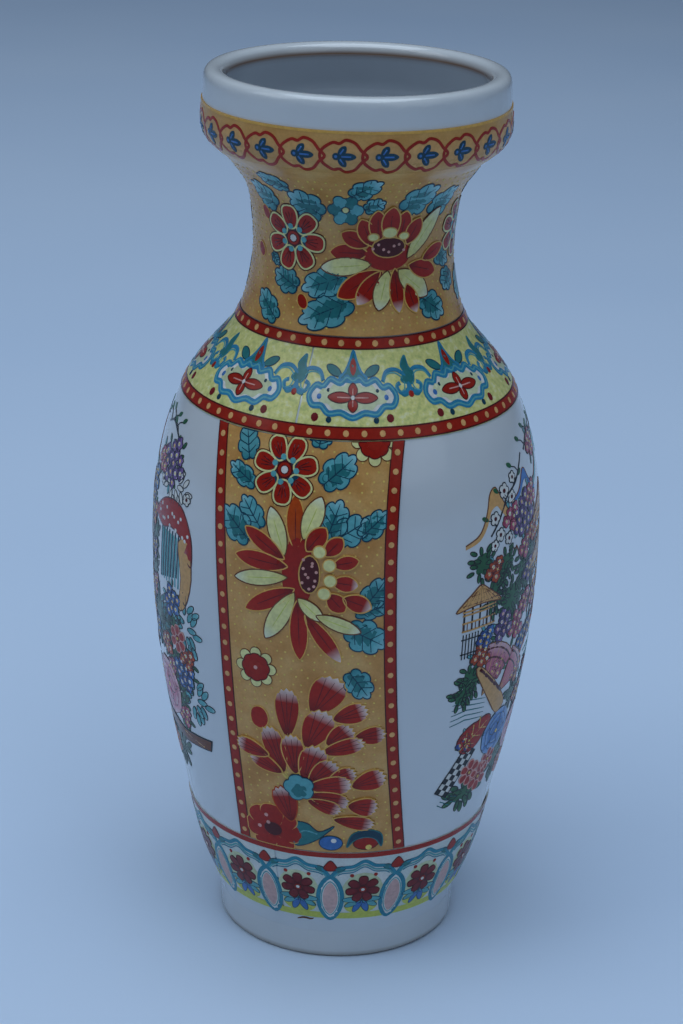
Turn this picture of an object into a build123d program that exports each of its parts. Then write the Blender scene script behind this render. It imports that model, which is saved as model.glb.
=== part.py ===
"""A slip-cast porcelain vase, 252.5 mm tall, with the printed enamel sheets fired on to it.

Millimetres, +Z up. The origin is the centre of the foot, on the surface the vase stands on.
The middle of the front flower strip faces -Y. Angles are measured about +Z from there,
and grow towards the right of someone who looks at the front.
"""
from build123d import *
from math import cos, hypot, radians, sin
import os

# --- The porcelain ---------------------------------------------------------------------
HEIGHT = 252.5              # standing height, foot to lip
FOOT_RADIUS = 34.8          # outside of the foot
FOOT_HEIGHT = 8.5           # short upright wall of the foot
FOOT_TAPER = 0.4            # the foot widens this much over its height
FOOT_RING_WIDTH = 4.5       # width of the ring that touches the table
BASE_RECESS = 2.5           # the base inside the ring is this far off the table
BASE_TAPER = 1.0            # the ring's inner side leans in this much
BELLY_RADIUS = 55.0         # widest part of the body
BELLY_LEVEL = 119.0
NECK_RADIUS = 27.2          # narrowest part of the neck
NECK_LEVEL = 208.0
COLLAR_RADIUS = 41.7        # outside of the rolled mouth
COLLAR_LEVEL = 240.0
LIP_RADIUS = 38.6           # crest of the lip
MOUTH_RADIUS = 35.6         # clear opening of the mouth
MOUTH_LEVEL = HEIGHT - 3.4
MOUTH_FLARE = 0.7           # the inside widens this much under the lip
MOUTH_DEPTH = 5.6           # over this much height
WALL = 4.5                  # cast wall
FLOOR_LEVEL = 7.5           # inside floor
FLOOR_RADIUS = 24.0
EDGE_ROUND = 0.8            # rounding of the foot ring

# --- The transfers, as (lowest, highest) level on the outside ------------------------------
SHEET = 0.25                # thickness of a fired transfer, kept thick enough to be a solid
RIM_BAND = (232.6, 244.2)           # gold band on the lower half of the collar
NECK_SHEET = (187.1, 232.2)         # flowers on the neck
SHOULDER_BAND = (163.6, 186.8)      # yellow-green band between its two dotted rings
FOOT_BORDER = (14.0, 39.8)          # arcade above the foot
STRIP_SPAN = (40.1, 163.3)          # flower strips, from the foot border to the shoulder
STRIP_SIDES_LOW = (-18.8, 27.2)     # left and right side of the front strip at its bottom, face on
STRIP_SIDES_HIGH = (-26.1, 24.2)    # the same at its top: the sheet leans to the right downwards
SCENE_SPAN = (48.5, 157.5)          # garden pictures between the strips
SCENE_WIDTH = 80.0                  # width of a picture, measured across the flat
SCENE_CORNER = 20.0
SCENE_MIDDLE = 97.0                 # angle of the middle of the right-hand picture
SHOULDER_SEAM = -5.0                # angle where the shoulder sheets meet at the front
FOOT_SEAM = -10.5                   # angle where the foot sheets meet at the front
SEAM_HALF = 0.4                     # half of the bare gap at a seam, in degrees
SKIN_STEPS = 120                    # steps along the outside for the sheets' outer faces

HALF_TURN = 180.0
WIDE = 130.0                        # a turn that clears a strip or a picture, in degrees
FRONT = -90.0                       # direction of the front in the XY plane
REACH = 2.0 * BELLY_RADIUS          # a length that clears the whole vase


def upright(angle):
    """The half plane through the axis at an angle from the front, with its y along +Z."""
    turn = radians(FRONT + angle)
    return Plane(origin=(0, 0, 0), x_dir=(cos(turn), sin(turn), 0), z_dir=(sin(turn), -cos(turn), 0))


def facing(angle, level):
    """A plane on the axis at a level, that looks out of the vase at an angle from the front."""
    turn = radians(FRONT + angle)
    return Plane(origin=(0, 0, level), x_dir=(-sin(turn), cos(turn), 0), z_dir=(cos(turn), sin(turn), 0))


def body_points():
    """Radius and level of the points that the outside passes through, from the foot to the collar."""
    return [
        (FOOT_RADIUS + FOOT_TAPER, FOOT_HEIGHT),
        (39.3, 20.5),
        (45.3, 44.0),
        (51.0, 72.0),
        (54.1, 96.0),
        (BELLY_RADIUS, BELLY_LEVEL),
        (53.9, 139.0),
        (50.2, 155.0),
        (45.0, 167.0),
        (38.2, 176.0),
        (32.2, 183.5),
        (28.9, 192.0),
        (NECK_RADIUS, NECK_LEVEL),
        (28.2, 217.5),
        (31.4, 225.0),
    ]


def collar_points():
    """The rolled collar, from the neck to the crest of the lip."""
    return [
        (31.4, 225.0),
        (34.6, 229.2),
        (38.9, 232.7),
        (COLLAR_RADIUS - 0.5, 236.0),
        (COLLAR_RADIUS, COLLAR_LEVEL),
        (COLLAR_RADIUS - 0.4, 248.2),
        (LIP_RADIUS, HEIGHT),
    ]


def cavity_points():
    """The inside, from the mouth down to the wall's turn: the outside moved in by the cast wall."""
    outside = body_points()[:-1] + collar_points()[:4]
    inside = []
    for before, point, after in zip(outside, outside[1:], outside[2:]):
        run, rise = after[0] - before[0], after[1] - before[1]
        span = hypot(run, rise)
        inside.append((point[0] - WALL * rise / span, point[1] + WALL * run / span))
    mouth = [(MOUTH_RADIUS, MOUTH_LEVEL), (MOUTH_RADIUS + MOUTH_FLARE, MOUTH_LEVEL - MOUTH_DEPTH)]
    return mouth + inside[::-1]


def draw_outside():
    """The outside from the top of the foot to the crest of the lip, as one smooth edge."""
    with BuildLine() as line:
        Spline(*body_points(), tangents=[(0.2, 1), (0.8, 1)])
        Spline(*collar_points(), tangents=[(0.8, 1), (-1, 0)])
    return line.edge()


def half_section():
    """The half section of the hollow vase, radius by level."""
    ring_inner = FOOT_RADIUS - FOOT_RING_WIDTH
    inside = cavity_points()
    with BuildSketch() as section:
        with BuildLine():
            Polyline((0, BASE_RECESS), (ring_inner - BASE_TAPER, BASE_RECESS), (ring_inner, 0), (FOOT_RADIUS, 0),
                     (FOOT_RADIUS + FOOT_TAPER, FOOT_HEIGHT))
            add(draw_outside())
            Spline((LIP_RADIUS, HEIGHT), (MOUTH_RADIUS, MOUTH_LEVEL), tangents=[(-1, 0), (0, -1)])
            Spline(*inside)
            Spline(inside[-1], (FLOOR_RADIUS, FLOOR_LEVEL), tangents=[(-0.4, -1), (-1, 0)])
            Polyline((FLOOR_RADIUS, FLOOR_LEVEL), (0, FLOOR_LEVEL), (0, BASE_RECESS))
        make_face()
    return section.sketch


def sheet_section(span):
    """The section of a sheet that lies on the outside of the vase between two levels."""
    low, high = span
    outside = draw_outside()
    shares = [i / SKIN_STEPS for i in range(SKIN_STEPS + 1)]
    skin = [outside.position_at(u) + outside.tangent_at(u).rotate(Axis.Z, -90) * SHEET for u in shares]
    with BuildSketch() as section:
        with BuildLine():
            add(outside)
            Line(skin[0], outside @ 0)
            Line(skin[-1], outside @ 1)
            Spline(*skin)
        make_face()
        with Locations((REACH / 2, (low + high) / 2)):
            Rectangle(REACH, high - low, mode=Mode.INTERSECT)
    return section.sketch


def write(piece, label):
    """Names a piece and writes it."""
    piece.part.label = label
    export_step(piece.part, f"parts/{label}.step")


os.makedirs("parts", exist_ok=True)

# The body: foot ring, belly, neck and rolled collar, cast in one.
with BuildPart() as porcelain_body:
    with BuildSketch(upright(0)):
        add(half_section())
    revolve(axis=Axis.Z)
    foot_edges = porcelain_body.edges().filter_by(GeomType.CIRCLE).group_by(Axis.Z)[0]
    fillet(foot_edges, EDGE_ROUND)
write(porcelain_body, "porcelain_body")

# The bands that go all round: each is two sheets, from one seam to the seam opposite.
BANDS = [
    ("rim_band_front", RIM_BAND, -90.0),
    ("rim_band_back", RIM_BAND, 90.0),
    ("neck_sheet_front", NECK_SHEET, -90.0),
    ("neck_sheet_back", NECK_SHEET, 90.0),
    ("shoulder_band_right", SHOULDER_BAND, SHOULDER_SEAM),
    ("shoulder_band_left", SHOULDER_BAND, SHOULDER_SEAM - HALF_TURN),
    ("foot_border_right", FOOT_BORDER, FOOT_SEAM),
    ("foot_border_left", FOOT_BORDER, FOOT_SEAM - HALF_TURN),
]
for label, span, seam in BANDS:
    with BuildPart() as band:
        with BuildSketch(upright(seam + SEAM_HALF)):
            add(sheet_section(span))
        revolve(axis=Axis.Z, revolution_arc=HALF_TURN - 2 * SEAM_HALF)
    write(band, label)

# The two flower strips: sheets with straight sides, laid on slightly out of true.
for label, turn in (("flower_strip_front", 0.0), ("flower_strip_back", HALF_TURN)):
    with BuildPart() as strip:
        with BuildSketch(upright(turn - WIDE / 2)):
            add(sheet_section(STRIP_SPAN))
        revolve(axis=Axis.Z, revolution_arc=WIDE)
        with BuildSketch(facing(turn, 0)):
            Polygon((STRIP_SIDES_LOW[0], STRIP_SPAN[0] - 1), (STRIP_SIDES_LOW[1], STRIP_SPAN[0] - 1),
                    (STRIP_SIDES_HIGH[1], STRIP_SPAN[1] + 1), (STRIP_SIDES_HIGH[0], STRIP_SPAN[1] + 1),
                    align=None)
        extrude(amount=REACH, mode=Mode.INTERSECT)
    write(strip, label)

# The two garden pictures, each a sheet with large rounded corners.
for label, turn in (("garden_scene_right", 0.0), ("garden_scene_left", HALF_TURN)):
    middle = SCENE_MIDDLE + turn
    with BuildPart() as scene:
        with BuildSketch(upright(middle - WIDE / 2)):
            add(sheet_section(SCENE_SPAN))
        revolve(axis=Axis.Z, revolution_arc=WIDE)
        with BuildSketch(facing(middle, sum(SCENE_SPAN) / 2)):
            RectangleRounded(SCENE_WIDTH, SCENE_SPAN[1] - SCENE_SPAN[0], SCENE_CORNER)
        extrude(amount=REACH, mode=Mode.INTERSECT)
    write(scene, label)
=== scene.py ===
"""A printed porcelain vase on a pale floor, under soft light.

Blender works in metres. The decoration is laid out in millimetres on the unrolled outside:
u runs round the vase, measured at the belly, 0 at the middle of the front and growing to the
right, and z is the height. Each printed colour of each sheet is one piece of slightly raised
enamel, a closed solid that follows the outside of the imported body.
"""
import random
from math import asin, atan2, ceil, copysign, cos, degrees, dist, hypot, pi, radians, sin, sqrt

import bpy
from mathutils import Matrix, Vector
from mathutils.bvhtree import BVHTree
from mathutils.geometry import delaunay_2d_cdt


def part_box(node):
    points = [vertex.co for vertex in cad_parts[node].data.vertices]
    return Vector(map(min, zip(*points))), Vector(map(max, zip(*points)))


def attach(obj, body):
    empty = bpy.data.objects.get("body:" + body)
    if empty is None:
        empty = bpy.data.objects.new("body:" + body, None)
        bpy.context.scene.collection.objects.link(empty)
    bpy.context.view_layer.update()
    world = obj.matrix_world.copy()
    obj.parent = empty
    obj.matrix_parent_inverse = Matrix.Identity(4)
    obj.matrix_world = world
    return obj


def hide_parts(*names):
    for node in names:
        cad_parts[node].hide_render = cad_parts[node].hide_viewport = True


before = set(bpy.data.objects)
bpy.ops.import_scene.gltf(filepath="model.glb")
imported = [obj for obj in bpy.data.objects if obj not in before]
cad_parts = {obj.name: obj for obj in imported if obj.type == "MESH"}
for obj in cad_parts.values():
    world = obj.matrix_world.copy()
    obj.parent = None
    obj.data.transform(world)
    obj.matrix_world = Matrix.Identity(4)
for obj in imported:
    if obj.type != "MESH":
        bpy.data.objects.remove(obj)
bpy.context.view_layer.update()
random.seed(7)

MM = 0.001
TURN = 2 * pi
SPIRAL = 2.4            # angle from one leaf or flower of a cluster to the next

SHEET = 0.25            # mm, thickness of the CAD sheets under the enamel
CLEAR = 0.06            # mm, from the sheet's face to the lowest printed colour
LAYER = 0.03            # mm, from one printed colour to the one over it
ROOT = 0.26             # mm, from the ground's face down to the bottom of every enamel solid
RIDGE = 0.016           # mm, how much a line's middle stands above its edges
PETAL_STEP = 0.6        # layers from one petal to the petal that overlaps it

GRID = 2.2              # mm, spacing of the points inside a filled shape, at the belly
LONGEST = 1.6           # mm, longest straight step of an outline
LINE_STEP = 0.2         # mm, least step along a line
NEAR = 0.05             # mm, points of an outline that are nearer than this are one
RING_STEPS = 240        # steps of a band that goes all round

OUTLINE = 0.34          # mm, width of the usual outline
VEIN = 0.24             # mm, width of a vein or rib
TAPER_END = 0.25        # share of its width that a tapering line keeps at its ends

RAYS = 6                # rays that measure the radius at a height
OUT = 0.2               # m, outside the vase at any height
MOUTH_EDGE = 37.2       # mm, radius that parts the inside of the mouth, which gets painted shade, from the lip
MOUTH_BLUR = 0.4        # mm, half the width of that edge
LIP_BROWN = (0.3, 0.16, 0.09)

# ---------------------------------------------------------------- the outside of the vase
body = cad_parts["porcelain_body"]
body_tree = BVHTree.FromPolygons([v.co for v in body.data.vertices],
                                 [tuple(p.vertices) for p in body.data.polygons])
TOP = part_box("porcelain_body")[1].z / MM
BELLY = max(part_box("porcelain_body")[1].x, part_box("porcelain_body")[1].y) / MM


def measure_radius(z):
    """Radius of the outside at a height, both in mm, as the largest of a few rays."""
    found = []
    for k in range(RAYS):
        away = Vector((cos(1 + k), sin(1 + k), 0))
        hit = body_tree.ray_cast(away * OUT + Vector((0, 0, z * MM)), -away)[0]
        if hit:
            found.append(hypot(hit.x, hit.y) / MM)
    return max(found)


PROFILE = [measure_radius(min(max(i, 0.2), TOP - 0.4)) for i in range(int(TOP) + 2)]


def radius(z):
    """Radius of the outside at a height, in mm."""
    low = min(max(int(z), 0), len(PROFILE) - 2)
    share = min(max(z - low, 0), 1)
    return PROFILE[low] * (1 - share) + PROFILE[low + 1] * share


def on_vase(u, z, lift):
    """The point on the vase, in metres, at (u, z) and raised by lift mm along the normal."""
    slope = (radius(z + 1) - radius(z - 1)) / 2
    size = hypot(1, slope)
    r = radius(z) + lift / size
    angle = u / BELLY
    return (r * sin(angle) * MM, -r * cos(angle) * MM, (z - lift * slope / size) * MM)


FULL_U = TURN * BELLY       # u all the way round
HALF_U = FULL_U / 2


# ---------------------------------------------------------------- outlines, in local mm
def place(points, u, z, turn=0, size=1):
    """Lays local points on the unrolled outside, turned about their origin."""
    stretch = BELLY / radius(z)
    c, s = cos(radians(turn)) * size, sin(radians(turn)) * size
    return [(u + (x * c - y * s) * stretch, z + x * s + y * c) for x, y in points]


def polar(u, z, angle, far, high=None):
    """The point at a distance and angle from (u, z); high is the distance straight up, if another."""
    return place([(far * cos(angle), (high or far) * sin(angle))], u, z)[0]


def petal(length, width, point=1, taper=0, steps=26):
    """A petal from the origin up its y axis. point over 1 sharpens the ends; taper widens the tip."""
    outline = []
    for i in range(steps):
        a = TURN * i / steps
        side = copysign(abs(sin(a)) ** point, sin(a))
        y = length / 2 * (1 - cos(a))
        outline.append((width / 2 * side * (1 - taper * cos(a)), y))
    return outline[::-1]


def oval(width, height=None, steps=20):
    """An ellipse about the origin, or a circle if no height is given."""
    height = height or width
    return [(width / 2 * cos(TURN * i / steps), height / 2 * sin(TURN * i / steps))
            for i in range(steps)]


def lobed(size, lobes, depth, steps=None, phase=0, squash=1):
    """A round outline with rounded lobes, such as a blossom or a cloud."""
    steps = steps or lobes * 8
    outline = []
    for i in range(steps):
        a = TURN * i / steps
        r = size * (1 - depth + depth * abs(cos(lobes * (a - phase) / 2)) ** 0.6)
        outline.append((r * cos(a), r * sin(a) * squash))
    return outline


def leaf(length, width, lobes=7, bend=0):
    """A leaf with rounded lobes and a notch at its base, from the origin up its y axis."""
    steps = lobes * 8
    outline = []
    for i in range(steps):
        a = TURN * i / steps
        r = 0.8 + 0.2 * abs(sin(lobes * a / 2)) ** 0.7
        share = (1 - r * cos(a)) / 2
        full = 1.06 - 0.22 * share
        outline.append((r * full * sin(a) * width / 2 + bend * share ** 2, length * share))
    return outline[::-1]


def smooth(points, closed=True, steps=6):
    """A Catmull-Rom curve through points."""
    count = len(points)
    spans = count if closed else count - 1
    curve = []
    for i in range(spans):
        ring = [points[(i + k) % count] if closed else points[min(max(i + k, 0), count - 1)]
                for k in (-1, 0, 1, 2)]
        for j in range(steps):
            t = j / steps
            weights = (-t + 2 * t ** 2 - t ** 3, 2 - 5 * t ** 2 + 3 * t ** 3,
                       t + 4 * t ** 2 - 3 * t ** 3, t ** 3 - t ** 2)
            curve.append(tuple(sum(w * p[k] for w, p in zip(weights, ring)) / 2 for k in (0, 1)))
    if not closed:
        curve.append(points[-1])
    return curve


# ---------------------------------------------------------------- enamel solids
def put(name, data):
    """A new object in the scene."""
    item = bpy.data.objects.new(name, data)
    bpy.context.scene.collection.objects.link(item)
    return item


class Enamel:
    """The mesh of one printed colour: closed, slightly raised shapes."""

    def __init__(self, root):
        self.root = root        # lift of the bottom, in mm
        self.points = []
        self.faces = []
        self.sharp = set()
        self.tip = []
        self.shade = []

    def add(self, flat, triangles, rim, lift, crown, tips, shade):
        """One shape: flat (u, z) points, its triangles, its rim as a loop of point numbers."""
        start = len(self.points)
        count = len(flat)
        edge = set(rim)
        for side in (0, 1):
            for i, (u, z) in enumerate(flat):
                rise = self.root if side else lift + (0 if i in edge else crown)
                self.points.append(on_vase(u, z, rise))
                self.tip.append(tips[i])
                self.shade.append(shade)
        for a, b, c in triangles:
            self.faces.append((start + a, start + b, start + c))
            self.faces.append((start + count + c, start + count + b, start + count + a))
        for a, b in zip(rim, rim[1:] + rim[:1]):
            self.faces.append((start + b, start + a, start + count + a, start + count + b))
            self.sharp.add((min(start + a, start + b), max(start + a, start + b)))

    def build(self, name, material, slot):
        """Makes the piece, smooth on its face and sharp along its rim."""
        mesh = bpy.data.meshes.new(name)
        mesh.from_pydata(self.points, [], self.faces)
        mesh.polygons.foreach_set("use_smooth", [True] * len(mesh.polygons))
        edges = [tuple(sorted(e.vertices)) in self.sharp for e in mesh.edges]
        mesh.attributes.new("sharp_edge", "BOOLEAN", "EDGE").data.foreach_set("value", edges)
        mesh.attributes.new("tip", "FLOAT", "POINT").data.foreach_set("value", self.tip)
        mesh.attributes.new("shade", "FLOAT", "POINT").data.foreach_set("value", self.shade)
        mesh.materials.append(material)
        piece = put(name, mesh)
        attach(piece, "root")
        return piece


def refined(points, closed):
    """Puts more points on long straight stretches, so that they follow the round surface."""
    row = []
    count = len(points)
    for i in range(count if closed else count - 1):
        a, b = points[i], points[(i + 1) % count]
        parts = max(1, ceil((b - a).length / LONGEST))
        row += [a + (b - a) * (k / parts) for k in range(parts)]
    return row if closed else row + [points[-1]]


def without_repeats(points):
    """Drops each point that is nearly where the one before it is."""
    return [p for i, p in enumerate(points) if dist(p, points[i - 1]) > NEAR]


def signed_area(points):
    """The area inside an outline, positive if it runs anticlockwise."""
    return sum(a[0] * b[1] - b[0] * a[1] for a, b in zip(points, points[1:] + points[:1])) / 2


class Print:
    """One printed sheet: the shapes drawn on it, sorted by colour."""

    def __init__(self, name, slot, ground_lift=SHEET):
        self.name = name
        self.slot = slot
        self.ground_lift = ground_lift
        self.colours = {}
        self.shift = 0
        self.keep = None        # moves a point (u, z) that is outside the sheet back to its edge

    def enamel(self, colour):
        """The mesh that a colour is drawn in."""
        return self.colours.setdefault(colour, Enamel(self.ground_lift - ROOT))

    def lift(self, layer):
        """Height in mm of a layer over the vase."""
        return self.ground_lift + CLEAR + LAYER * layer

    def fill(self, colour, outline, layer=1, base=None, tip=None, crown=0.04):
        """A filled shape. base and tip are the two points that its tip fading runs between."""
        if self.keep:
            outline = without_repeats([self.keep(u, z) for u, z in outline])
        if len(outline) < 3:
            return
        if signed_area(outline) < 0:
            outline = outline[::-1]
        middle = sum(p[1] for p in outline) / len(outline)
        squeeze = radius(middle) / BELLY
        flat = refined([Vector((u * squeeze, z)) for u, z in outline], True)
        count = len(flat)
        low = Vector((min(p.x for p in flat), min(p.y for p in flat)))
        high = Vector((max(p.x for p in flat), max(p.y for p in flat)))
        grid = GRID * sqrt(squeeze)
        columns = int((high.x - low.x) / grid)
        rows = int((high.y - low.y) / grid)
        for j in range(rows):
            for i in range(columns):
                flat.append(low + Vector(((i + 0.5 + 0.5 * (j % 2)) * grid, (j + 0.6) * grid)))
        loop = list(range(count))
        points, _, faces, origin, _, _ = delaunay_2d_cdt(flat, [], [loop], 1, 1e-5)
        number = {}
        for new, olds in enumerate(origin):
            for old in olds:
                number[old] = new
        rim = [number[i] for i in loop]
        if len(set(rim)) < len(rim) or not faces:
            return
        laid = [(p.x / squeeze + self.shift, p.y) for p in points]
        tips = [0.5] * len(laid)
        if base and tip:
            run = (tip[0] - base[0], tip[1] - base[1])
            size = run[0] ** 2 * squeeze ** 2 + run[1] ** 2
            for i, (u, z) in enumerate(laid):
                along = (u - self.shift - base[0]) * squeeze ** 2 * run[0] + (z - base[1]) * run[1]
                tips[i] = min(max(along / size, 0), 1)
        self.enamel(colour).add(laid, faces, rim, self.lift(layer), crown, tips, random.random())

    def line(self, colour, points, width=0.4, layer=2, closed=False, taper=False):
        """A raised line of a width, in mm, along points."""
        if self.keep:
            points = [self.keep(u, z) for u, z in points]
        middle = sum(p[1] for p in points) / len(points)
        squeeze = radius(middle) / BELLY
        flat = refined([Vector((u * squeeze, z)) for u, z in points], closed)
        tidy = [flat[0]]
        for p in flat[1:]:
            if (p - tidy[-1]).length > LINE_STEP:
                tidy.append(p)
        if closed and (tidy[0] - tidy[-1]).length < LINE_STEP:
            tidy.pop()
        count = len(tidy)
        if count < 2 + closed:
            return
        left, crest, right = [], [], []
        for i, p in enumerate(tidy):
            before = tidy[(i - 1) % count] if closed or i else p
            after = tidy[(i + 1) % count] if closed or i < count - 1 else p
            along = (after - before).normalized()
            half = width / 2
            if taper:
                half *= TAPER_END + (1 - TAPER_END) * sin(pi * (i + 0.5) / count)
            across = Vector((-along.y, along.x)) * half
            left.append(p + across)
            crest.append(p)
            right.append(p - across)
        laid = [(q.x / squeeze + self.shift, q.y) for row in (left, crest, right) for q in row]
        target = self.enamel(colour)
        start = len(target.points)
        lift = self.lift(layer)
        shade = random.random()
        for k, (u, z) in enumerate(laid):
            target.points.append(on_vase(u, z, lift + (RIDGE if k // count == 1 else 0)))
        for u, z in laid:
            target.points.append(on_vase(u, z, target.root))
        target.tip += [0.5] * (6 * count)
        target.shade += [shade] * (6 * count)
        spans = count if closed else count - 1
        deep = 3 * count
        for i in range(spans):
            j = (i + 1) % count
            for row in (0, 1):
                a, b = start + row * count + i, start + row * count + j
                target.faces.append((a, a + count, b + count, b))
                target.faces.append((a + deep, b + deep, b + count + deep, a + count + deep))
            l0, l1 = start + i, start + j
            r0, r1 = start + 2 * count + i, start + 2 * count + j
            target.faces.append((l0, l1, l1 + deep, l0 + deep))
            target.faces.append((r1, r0, r0 + deep, r1 + deep))
            target.sharp.add((min(l0, l1), max(l0, l1)))
            target.sharp.add((min(r0, r1), max(r0, r1)))
        if not closed:
            for i, order in ((start, 1), (start + count - 1, -1)):
                end = [i, i + deep, i + count + deep, i + 2 * count + deep, i + 2 * count, i + count]
                target.faces.append(tuple(end[::order]))

    def dot(self, colour, u, z, size, layer=1, crown=0.1, steps=9):
        """A small round bead of enamel."""
        if self.keep and self.keep(u, z) != (u, z):
            return
        outline = place(oval(size, steps=steps), u, z)
        laid = [(a + self.shift, b) for a, b in outline] + [(u + self.shift, z)]
        fan = [(i, (i + 1) % steps, steps) for i in range(steps)]
        self.enamel(colour).add(laid, fan, list(range(steps)), self.lift(layer), crown,
                                [0.5] * (steps + 1), random.random())

    def edge(self, colour, outline, width=0.4, layer=2):
        """A raised line round an outline."""
        self.line(colour, outline, width, layer, closed=True)

    def outlined(self, colour, edge, outline, width=0.4, layer=1, base=None, tip=None):
        """A filled shape with a raised line round it."""
        self.fill(colour, outline, layer, base, tip)
        self.edge(edge, outline, width, layer)

    def band(self, colour, left, right, layer=0):
        """A filled ribbon between two point rows of the same length."""
        rows, columns = len(left), 2
        laid = []
        for a, b in zip(left, right):
            for k in range(columns + 1):
                share = k / columns
                laid.append((a[0] + (b[0] - a[0]) * share + self.shift, a[1] + (b[1] - a[1]) * share))
        wide = columns + 1
        triangles = []
        for j in range(rows - 1):
            for k in range(columns):
                a = j * wide + k
                triangles += [(a, a + 1, a + wide + 1), (a, a + wide + 1, a + wide)]
        near = list(range(wide))
        side = [j * wide + columns for j in range(1, rows)]
        far = [(rows - 1) * wide + k for k in range(columns - 1, -1, -1)]
        back = [j * wide for j in range(rows - 2, 0, -1)]
        rim = near + side + far + back
        if signed_area([(laid[i][0], laid[i][1]) for i in rim]) < 0:
            triangles = [t[::-1] for t in triangles]
            rim = rim[::-1]
        self.enamel(colour).add(laid, triangles, rim, self.lift(layer), 0, [0.5] * len(laid), 0.5)

    def build(self):
        """Makes one piece for each colour."""
        return [mesh.build(f"{self.name}_{colour}", INKS[colour], self.slot)
                for colour, mesh in sorted(self.colours.items())]


# ---------------------------------------------------------------- materials
WHITE = (1, 1, 1)


def grey(value):
    return (value, value, value)


def plug(tree, socket, value):
    """Links a socket to a value that is a socket itself, or sets it."""
    if isinstance(value, bpy.types.NodeSocket):
        tree.links.new(value, socket)
    else:
        socket.default_value = (*value, 1) if socket.type == "RGBA" else value


def node(tree, kind, inputs, **settings):
    """A new node with its settings and its inputs, which go by name or number."""
    made = tree.nodes.new("ShaderNode" + kind)
    for name, value in settings.items():
        setattr(made, name, value)
    for name, value in inputs.items():
        plug(tree, made.inputs[name], value)
    return made


def shader(name, roughness, coat, specular=0.5):
    """A new material with its Principled shader, node tree and object coordinates."""
    material = bpy.data.materials.new(name)
    material.use_nodes = True
    tree = material.node_tree
    skin = tree.nodes["Principled BSDF"]
    skin.inputs["Roughness"].default_value = roughness
    skin.inputs["Coat Weight"].default_value = coat
    skin.inputs["Coat Roughness"].default_value = 0.06
    skin.inputs["Specular IOR Level"].default_value = specular
    return material, tree, skin, node(tree, "TexCoord", {}).outputs["Object"]


def noise(tree, where, scale, detail=3):
    """A noise value at a number of waves per metre."""
    return node(tree, "TexNoise", {"Scale": scale, "Detail": detail, "Vector": where}).outputs["Fac"]


def ramp(tree, value, stops):
    """Colours along a value: stops are (place, (r, g, b))."""
    made = node(tree, "ValToRGB", {"Fac": value})
    band = made.color_ramp
    while len(band.elements) < len(stops):
        band.elements.new(1)
    for element, (spot, colour) in zip(band.elements, stops):
        element.position = spot
        element.color = (*colour, 1)
    return made.outputs["Color"]


def blend(tree, first, second, share=1, kind="MULTIPLY"):
    """Multiplies or mixes two colours."""
    return node(tree, "Mix", {0: share, 6: first, 7: second}, data_type="RGBA", blend_type=kind).outputs[2]


def attribute(tree, name):
    return node(tree, "Attribute", {}, attribute_name=name).outputs["Fac"]


def scaled(colour, by):
    return tuple(min(c * by, 1) for c in colour)


def ink(name, root, middle, end):
    """Enamel that runs from one colour at a shape's base to another at its tip, a little uneven."""
    material, tree, skin, where = shader("ink_" + name, 0.22, 0.08, 0.25)
    along = ramp(tree, attribute(tree, "tip"), [(0, root), (0.35, middle), (0.72, middle), (1, end)])
    pale = ramp(tree, attribute(tree, "shade"), [(0, grey(0.86)), (1, WHITE)])
    grain = ramp(tree, noise(tree, where, 900), [(0.3, grey(0.8)), (0.7, WHITE)])
    plug(tree, skin.inputs["Base Color"], blend(tree, blend(tree, along, pale), grain))
    return material


def plain_ink(name, colour):
    """Enamel of one colour, a little darker and lighter from shape to shape."""
    return ink(name, scaled(colour, 0.85), colour, scaled(colour, 1.1))


RED = (0.42, 0.016, 0.007)

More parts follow.
